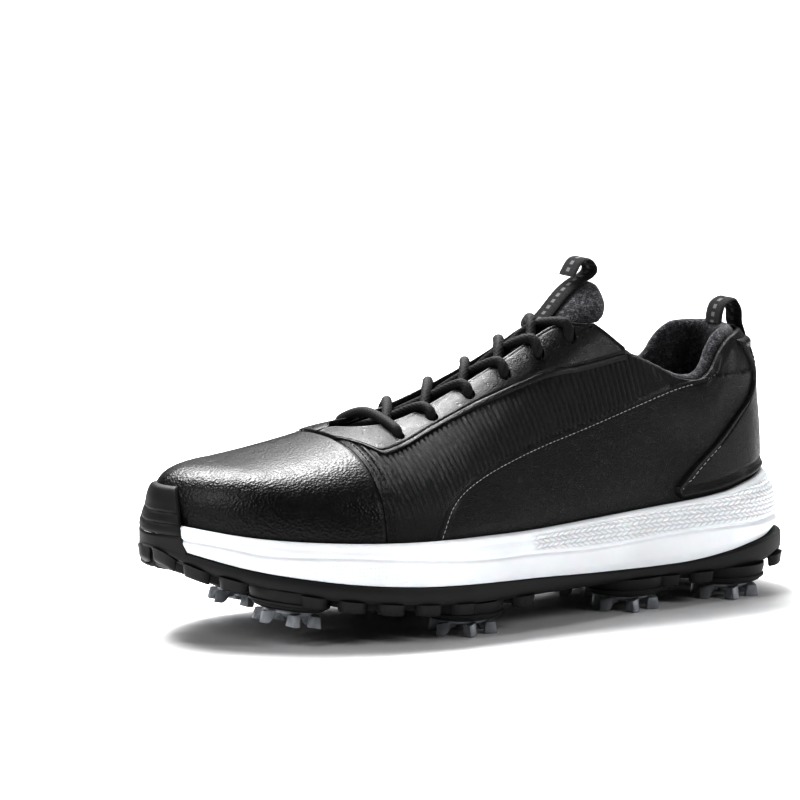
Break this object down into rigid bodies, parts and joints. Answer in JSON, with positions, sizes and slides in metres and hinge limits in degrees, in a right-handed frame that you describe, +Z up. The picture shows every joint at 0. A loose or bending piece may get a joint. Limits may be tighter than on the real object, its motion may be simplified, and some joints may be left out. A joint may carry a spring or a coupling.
{
  "type": "golf shoe",
  "caption": "Low-cut laced left golf shoe: black leather upper, padded collar and tongue, cupped foam midsole, and twist-lock soft cleats on a treaded outsole.",
  "frame": {"origin": "on the ground under the cleat tips, at the middle of the sole's length and width", "axes": "-X towards the toe, +X towards the heel, -Y to the lateral (outer) side, +Z up"},
  "size_m": [0.3, 0.1183, 0.1498],
  "materials": {
    "pebbled_leather": "pebbled, soft gloss",
    "smooth_leather": "fine grain, soft gloss",
    "outsole_rubber": "moulded, matte",
    "midsole_foam": "moulded foam, matte",
    "lining_felt": "melange felt",
    "insole_fabric": "knitted cover",
    "webbing": "woven, striped",
    "lace_cord": "braided",
    "cleat_plastic": "moulded, satin grey",
    "black_plastic": "moulded",
    "board": "fibre board"
  },
  "bodies": {
    "shoe": {"outsole": "outsole_rubber", "midsole": "midsole_foam", "shank_plate": "black_plastic", "strobel_board": "board", "insole": "insole_fabric", "vamp": "pebbled_leather", "toe_puff": "board", "vamp_lining": "lining_felt", "quarter_lateral": "smooth_leather", "quarter_medial": "smooth_leather", "quarter_lining_lateral": "lining_felt", "quarter_lining_medial": "lining_felt", "eyestay_lateral": "smooth_leather", "eyestay_medial": "smooth_leather", "heel_overlay": "smooth_leather", "heel_counter": "board", "collar_lining": "lining_felt", "tongue": "lining_felt", "heel_pull_loop": "webbing", "lace": "lace_cord", "lace_tip_lateral": "black_plastic", "lace_tip_medial": "black_plastic", "insert_toe_lateral": "black_plastic", "insert_toe_medial": "black_plastic", "insert_ball_lateral": "black_plastic", "insert_ball_medial": "black_plastic", "insert_arch_lateral": "black_plastic", "insert_arch_medial": "black_plastic", "insert_heel_lateral": "black_plastic", "insert_heel_medial": "black_plastic"},
    "tongue_flap": {"tongue_top": "lining_felt", "tongue_webbing": "webbing"},
    "cleat_toe_lateral": {"cleat_toe_lateral": "cleat_plastic"},
    "cleat_toe_medial": {"cleat_toe_medial": "cleat_plastic"},
    "cleat_ball_lateral": {"cleat_ball_lateral": "cleat_plastic"},
    "cleat_ball_medial": {"cleat_ball_medial": "cleat_plastic"},
    "cleat_arch_lateral": {"cleat_arch_lateral": "cleat_plastic"},
    "cleat_arch_medial": {"cleat_arch_medial": "cleat_plastic"},
    "cleat_heel_lateral": {"cleat_heel_lateral": "cleat_plastic"},
    "cleat_heel_medial": {"cleat_heel_medial": "cleat_plastic"}
  },
  "joints": [
    {"name": "cleat_toe_lateral_twist", "type": "hinge", "parent": "shoe", "child": "cleat_toe_lateral", "pos_m": [-0.1026, -0.02585, 0.0152], "axis": [0.165, 0, 0.9863], "range_deg": [0, 90]},
    {"name": "cleat_toe_medial_twist", "type": "hinge", "parent": "shoe", "child": "cleat_toe_medial", "pos_m": [-0.0915, 0.03715, 0.0134], "axis": [0.1478, 0, 0.989], "range_deg": [0, 90]},
    {"name": "cleat_ball_lateral_twist", "type": "hinge", "parent": "shoe", "child": "cleat_ball_lateral", "pos_m": [-0.0267, -0.03935, 0.0066], "axis": [0, 0, 1], "range_deg": [0, 90]},
    {"name": "cleat_ball_medial_twist", "type": "hinge", "parent": "shoe", "child": "cleat_ball_medial", "pos_m": [-0.0291, 0.02715, 0.0066], "axis": [0, 0, 1], "range_deg": [0, 90]},
    {"name": "cleat_arch_lateral_twist", "type": "hinge", "parent": "shoe", "child": "cleat_arch_lateral", "pos_m": [0.0621, -0.02485, 0.0066], "axis": [0, 0, 1], "range_deg": [0, 90]},
    {"name": "cleat_arch_medial_twist", "type": "hinge", "parent": "shoe", "child": "cleat_arch_medial", "pos_m": [0.0666, 0.01715, 0.0066], "axis": [0, 0, 1], "range_deg": [0, 90]},
    {"name": "cleat_heel_lateral_twist", "type": "hinge", "parent": "shoe", "child": "cleat_heel_lateral", "pos_m": [0.115, -0.02085, 0.0066], "axis": [0, 0, 1], "range_deg": [0, 90]},
    {"name": "cleat_heel_medial_twist", "type": "hinge", "parent": "shoe", "child": "cleat_heel_medial", "pos_m": [0.124, 0.01965, 0.0066], "axis": [0, 0, 1], "range_deg": [0, 90]},
    {"name": "tongue_flex", "type": "hinge", "parent": "shoe", "child": "tongue_flap", "pos_m": [0.0435, 0, 0.126], "axis": [0, 1, 0], "range_deg": [-10, 14]}
  ]
}
